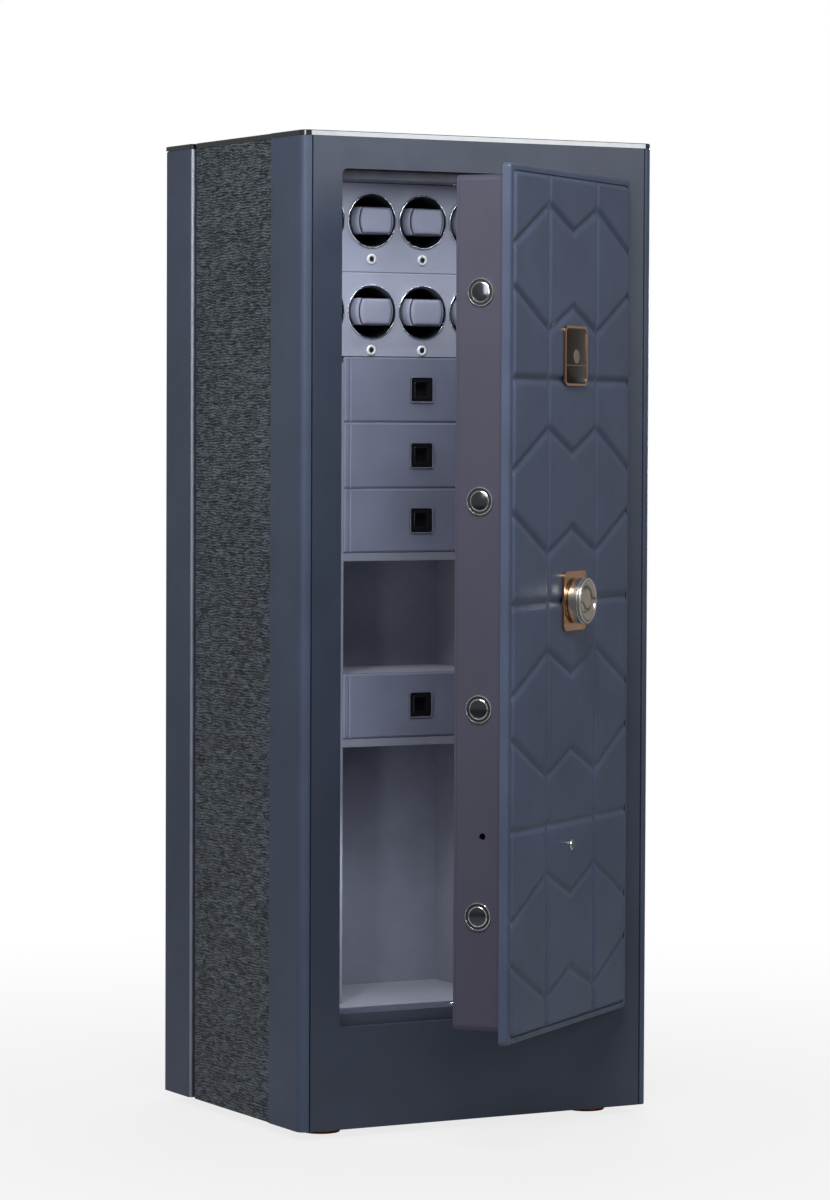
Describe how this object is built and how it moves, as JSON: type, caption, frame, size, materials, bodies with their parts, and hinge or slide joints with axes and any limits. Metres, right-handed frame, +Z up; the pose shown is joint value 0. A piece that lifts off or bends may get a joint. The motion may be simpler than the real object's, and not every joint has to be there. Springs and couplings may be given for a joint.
{
  "type": "leather-clad safe with watch winders",
  "caption": "Tall leather-clad safe with a quilted swing door, knob-driven bolts, a fingerprint reader, watch winders, drawers and open bays inside.",
  "frame": {"origin": "on the floor under the centre of the object's box with the door ajar as in the picture", "axes": "+X to the viewer's right along the front, +Y from the front towards the back, +Z up"},
  "size_m": [0.604, 0.768, 1.495],
  "materials": {
    "body_shell": "matte",
    "frame_paint": "matte",
    "slate_leather": "satin",
    "rippled_leather": "matte",
    "mirror_top": "polished",
    "copper_foot": "satin",
    "grey_suede": "matte",
    "drawer_leather": "satin",
    "pillow_leather": "satin",
    "chrome": "polished",
    "bright_steel": "satin",
    "satin_nickel": "satin",
    "rose_gold": "polished",
    "black_plastic": "matte",
    "black_gloss": "gloss",
    "plug_paint": "matte"
  },
  "bodies": {
    "cabinet": {"steel_body": "body_shell", "door_frame": "frame_paint", "front_fascia": "slate_leather", "left_corner_column": "slate_leather", "right_corner_column": "slate_leather", "left_side_panel": "rippled_leather", "right_side_panel": "rippled_leather", "rear_cover": "slate_leather", "top_plate": "mirror_top", "front_left_foot": "copper_foot", "front_right_foot": "copper_foot", "rear_left_foot": "copper_foot", "rear_right_foot": "copper_foot", "cavity_lining": "grey_suede", "tower_carcass": "grey_suede", "upper_hinge_bracket": "bright_steel", "lower_hinge_bracket": "bright_steel", "winder_panel": "drawer_leather", "winder_bezels": "chrome", "winder_case": "black_plastic"},
    "door": {"door_panel": "slate_leather", "door_quilt": "slate_leather", "plug_shell": "plug_paint", "plug_back_cover": "plug_paint", "upper_hinge_arm": "bright_steel", "lower_hinge_arm": "bright_steel", "knob_plate": "rose_gold", "reader_plate": "rose_gold"},
    "bolts": {"bolt_carriage": "chrome"},
    "knob": {"knob": "satin_nickel", "knob_spindle": "bright_steel"},
    "key": {"key_cylinder": "chrome"},
    "drawer_1_body": {"drawer_1": "drawer_leather", "drawer_pull_1": "black_gloss"},
    "drawer_2_body": {"drawer_2": "drawer_leather", "drawer_pull_2": "black_gloss"},
    "drawer_3_body": {"drawer_3": "drawer_leather", "drawer_pull_3": "black_gloss"},
    "drawer_4_body": {"drawer_4": "drawer_leather", "drawer_pull_4": "black_gloss"},
    "winder_11": {"winder_pillow_11": "pillow_leather"},
    "winder_12": {"winder_pillow_12": "pillow_leather"},
    "winder_13": {"winder_pillow_13": "pillow_leather"},
    "winder_14": {"winder_pillow_14": "pillow_leather"},
    "winder_15": {"winder_pillow_15": "pillow_leather"},
    "winder_21": {"winder_pillow_21": "pillow_leather"},
    "winder_22": {"winder_pillow_22": "pillow_leather"},
    "winder_23": {"winder_pillow_23": "pillow_leather"},
    "winder_24": {"winder_pillow_24": "pillow_leather"},
    "winder_25": {"winder_pillow_25": "pillow_leather"},
    "button_11": {"winder_button_11": "black_plastic"},
    "button_12": {"winder_button_12": "black_plastic"},
    "button_13": {"winder_button_13": "black_plastic"},
    "button_14": {"winder_button_14": "black_plastic"},
    "button_15": {"winder_button_15": "black_plastic"},
    "button_21": {"winder_button_21": "black_plastic"},
    "button_22": {"winder_button_22": "black_plastic"},
    "button_23": {"winder_button_23": "black_plastic"},
    "button_24": {"winder_button_24": "black_plastic"},
    "button_25": {"winder_button_25": "black_plastic"}
  },
  "joints": [
    {"name": "door_hinge", "type": "hinge", "parent": "cabinet", "child": "door", "pos_m": [0.2695, -0.06947, 0.8025], "axis": [0, 0, 1], "range_deg": [-37, 53]},
    {"name": "knob_turn", "type": "hinge", "parent": "door", "child": "knob", "pos_m": [0.0642, -0.24484, 0.8025], "axis": [0.6018, -0.7986, 0], "range_deg": [0, 90]},
    {"name": "bolt_throw", "type": "slide", "parent": "door", "child": "bolts", "axis": [-0.7986, -0.6018, 0], "range_m": [0, 0.019]},
    {"name": "key_turn", "type": "hinge", "parent": "door", "child": "key", "pos_m": [0.0642, -0.24484, 0.4395], "axis": [0.6018, -0.7986, 0], "range_deg": [0, 90]},
    {"name": "drawer_1_slide", "type": "slide", "parent": "cabinet", "child": "drawer_1_body", "axis": [0, -1, 0], "range_m": [0, 0.16]},
    {"name": "drawer_2_slide", "type": "slide", "parent": "cabinet", "child": "drawer_2_body", "axis": [0, -1, 0], "range_m": [0, 0.16]},
    {"name": "drawer_3_slide", "type": "slide", "parent": "cabinet", "child": "drawer_3_body", "axis": [0, -1, 0], "range_m": [0, 0.16]},
    {"name": "drawer_4_slide", "type": "slide", "parent": "cabinet", "child": "drawer_4_body", "axis": [0, -1, 0], "range_m": [0, 0.16]},
    {"name": "winder_11_spin", "type": "hinge", "parent": "cabinet", "child": "winder_11", "pos_m": [-0.177, 0.10103, 1.374], "axis": [0, -1, 0], "continuous": true},
    {"name": "winder_12_spin", "type": "hinge", "parent": "cabinet", "child": "winder_12", "pos_m": [-0.0885, 0.10103, 1.374], "axis": [0, -1, 0], "continuous": true},
    {"name": "winder_13_spin", "type": "hinge", "parent": "cabinet", "child": "winder_13", "pos_m": [0, 0.10103, 1.374], "axis": [0, -1, 0], "continuous": true},
    {"name": "winder_14_spin", "type": "hinge", "parent": "cabinet", "child": "winder_14", "pos_m": [0.0885, 0.10103, 1.374], "axis": [0, -1, 0], "continuous": true},
    {"name": "winder_15_spin", "type": "hinge", "parent": "cabinet", "child": "winder_15", "pos_m": [0.177, 0.10103, 1.374], "axis": [0, -1, 0], "continuous": true},
    {"name": "winder_21_spin", "type": "hinge", "parent": "cabinet", "child": "winder_21", "pos_m": [-0.177, 0.10103, 1.235], "axis": [0, -1, 0], "continuous": true},
    {"name": "winder_22_spin", "type": "hinge", "parent": "cabinet", "child": "winder_22", "pos_m": [-0.0885, 0.10103, 1.235], "axis": [0, -1, 0], "continuous": true},
    {"name": "winder_23_spin", "type": "hinge", "parent": "cabinet", "child": "winder_23", "pos_m": [0, 0.10103, 1.235], "axis": [0, -1, 0], "continuous": true},
    {"name": "winder_24_spin", "type": "hinge", "parent": "cabinet", "child": "winder_24", "pos_m": [0.0885, 0.10103, 1.235], "axis": [0, -1, 0], "continuous": true},
    {"name": "winder_25_spin", "type": "hinge", "parent": "cabinet", "child": "winder_25", "pos_m": [0.177, 0.10103, 1.235], "axis": [0, -1, 0], "continuous": true},
    {"name": "button_11_press", "type": "slide", "parent": "cabinet", "child": "button_11", "axis": [0, 1, 0], "range_m": [0, 0.0015], "stiffness_N_per_m": 400},
    {"name": "button_12_press", "type": "slide", "parent": "cabinet", "child": "button_12", "axis": [0, 1, 0], "range_m": [0, 0.0015], "stiffness_N_per_m": 400},
    {"name": "button_13_press", "type": "slide", "parent": "cabinet", "child": "button_13", "axis": [0, 1, 0], "range_m": [0, 0.0015], "stiffness_N_per_m": 400},
    {"name": "button_14_press", "type": "slide", "parent": "cabinet", "child": "button_14", "axis": [0, 1, 0], "range_m": [0, 0.0015], "stiffness_N_per_m": 400},
    {"name": "button_15_press", "type": "slide", "parent": "cabinet", "child": "button_15", "axis": [0, 1, 0], "range_m": [0, 0.0015], "stiffness_N_per_m": 400},
    {"name": "button_21_press", "type": "slide", "parent": "cabinet", "child": "button_21", "axis": [0, 1, 0], "range_m": [0, 0.0015], "stiffness_N_per_m": 400},
    {"name": "button_22_press", "type": "slide", "parent": "cabinet", "child": "button_22", "axis": [0, 1, 0], "range_m": [0, 0.0015], "stiffness_N_per_m": 400},
    {"name": "button_23_press", "type": "slide", "parent": "cabinet", "child": "button_23", "axis": [0, 1, 0], "range_m": [0, 0.0015], "stiffness_N_per_m": 400},
    {"name": "button_24_press", "type": "slide", "parent": "cabinet", "child": "button_24", "axis": [0, 1, 0], "range_m": [0, 0.0015], "stiffness_N_per_m": 400},
    {"name": "button_25_press", "type": "slide", "parent": "cabinet", "child": "button_25", "axis": [0, 1, 0], "range_m": [0, 0.0015], "stiffness_N_per_m": 400}
  ],
  "couplings": [
    {"joint": "bolt_throw", "follows": "knob_turn", "m_per_rad": 0.012}
  ]
}
